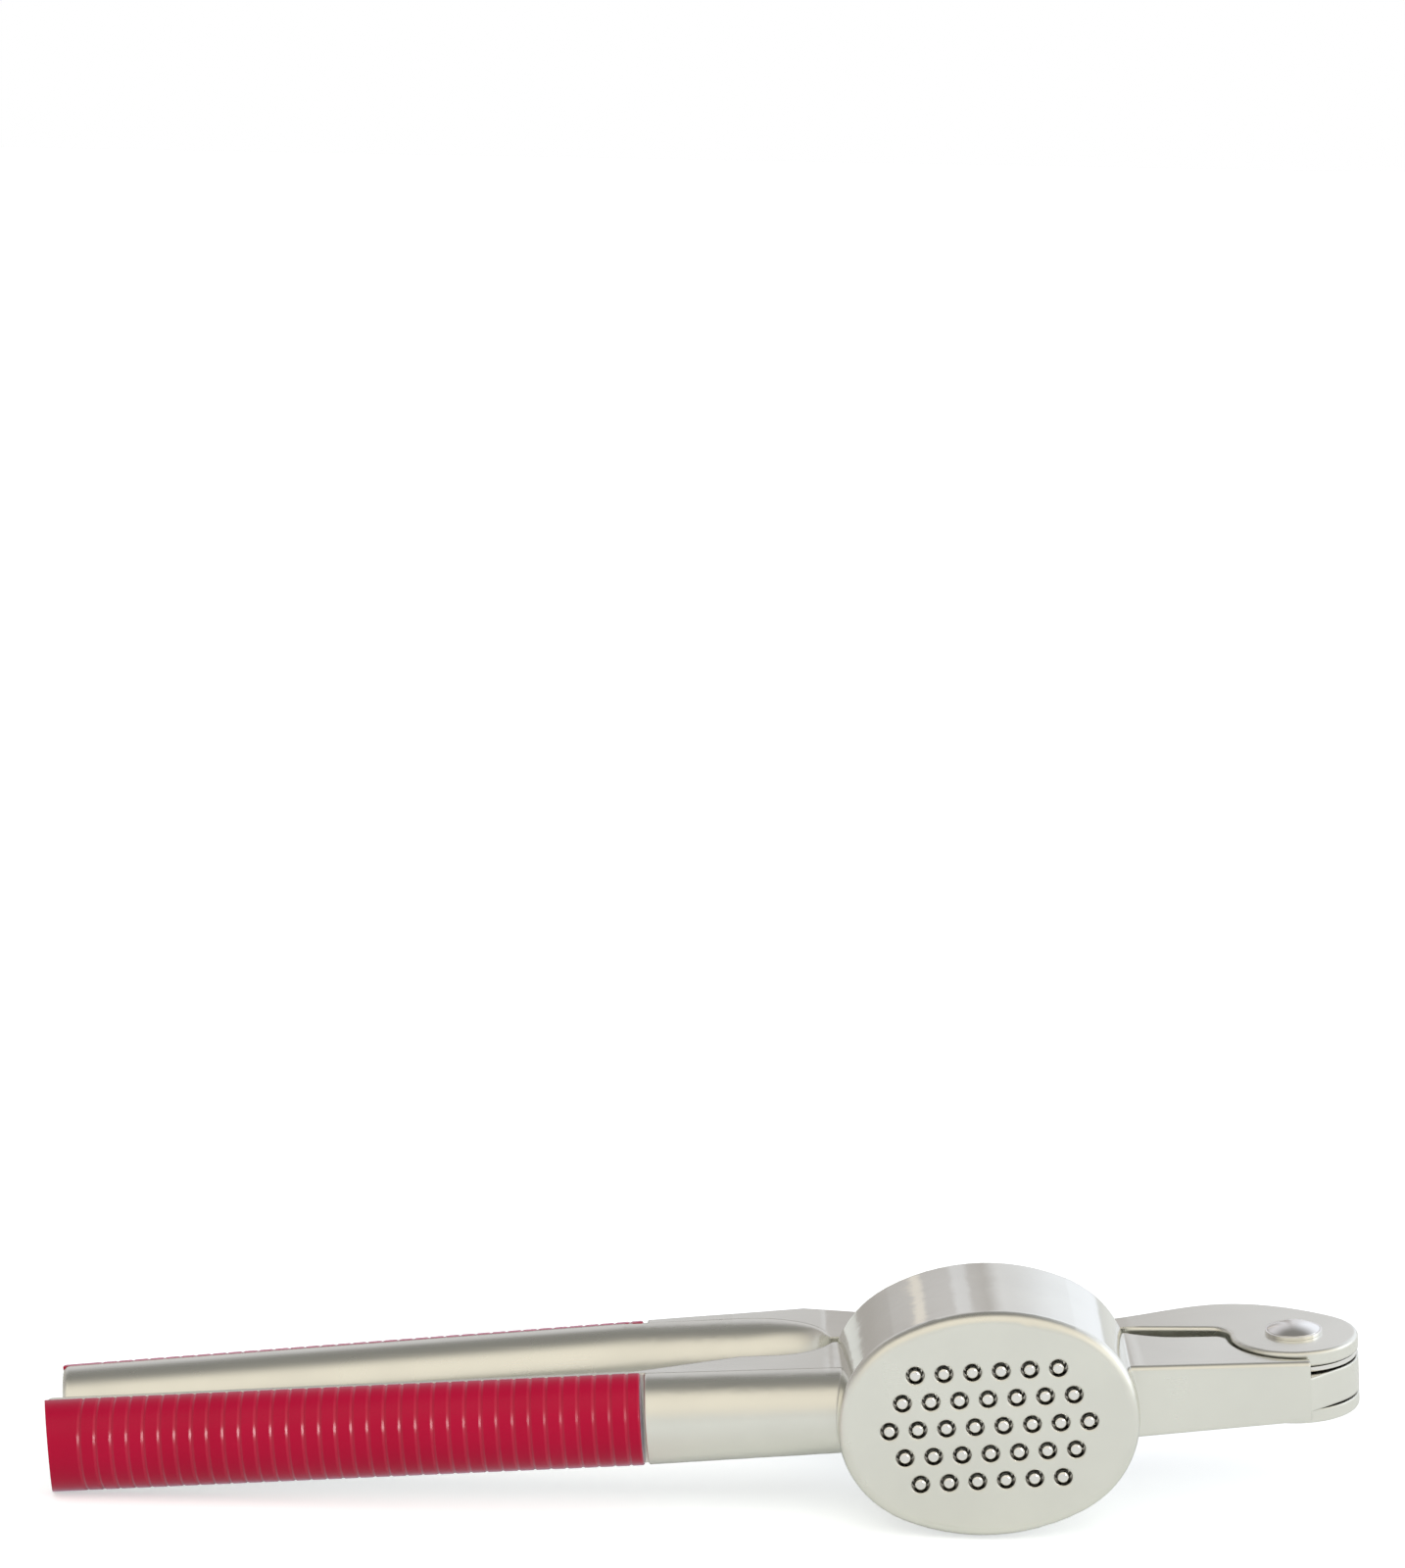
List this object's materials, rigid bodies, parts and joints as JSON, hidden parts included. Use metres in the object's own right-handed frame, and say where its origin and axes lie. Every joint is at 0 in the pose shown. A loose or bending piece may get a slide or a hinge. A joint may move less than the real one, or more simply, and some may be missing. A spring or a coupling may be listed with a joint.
{
  "type": "garlic press",
  "caption": "Hinged garlic press with an oval sieve cup, a hanging plunger with cleaning pins and oval handles with ribbed plastic grips.",
  "frame": {"origin": "middle of the sieve's outer face", "axes": "+X towards the hinge with the handles towards -X, -Y out of the sieve, +Z along the hinge axis"},
  "size_m": [0.1745, 0.0381, 0.0314],
  "materials": {
    "satin_metal": "satin nickel plated casting",
    "polished_metal": "polished",
    "grip_plastic": "slightly glossy crimson with fine ribs"
  },
  "bodies": {
    "hopper": {"hopper_lever": "satin_metal", "hopper_grip": "grip_plastic"},
    "plunger_arm": {"plunger_lever": "satin_metal", "plunger_grip": "grip_plastic", "hinge_rivet": "polished_metal", "rivet_head_washer": "polished_metal", "rivet_tail_washer": "polished_metal", "hinge_spacer_washer": "polished_metal"},
    "plunger": {"plunger": "satin_metal", "plunger_pin": "polished_metal"}
  },
  "joints": [
    {"name": "main_hinge", "type": "hinge", "parent": "hopper", "child": "plunger_arm", "pos_m": [0.0417, 0.0166, 0], "axis": [0, 0, -1], "range_deg": [0, 75]},
    {"name": "plunger_tilt", "type": "hinge", "parent": "plunger_arm", "child": "plunger", "pos_m": [0.003, 0.012, 0], "axis": [0, 0, 1], "range_deg": [0, 63.75]}
  ],
  "couplings": [
    {"joint": "plunger_tilt", "follows": "main_hinge", "ratio": 0.85}
  ]
}
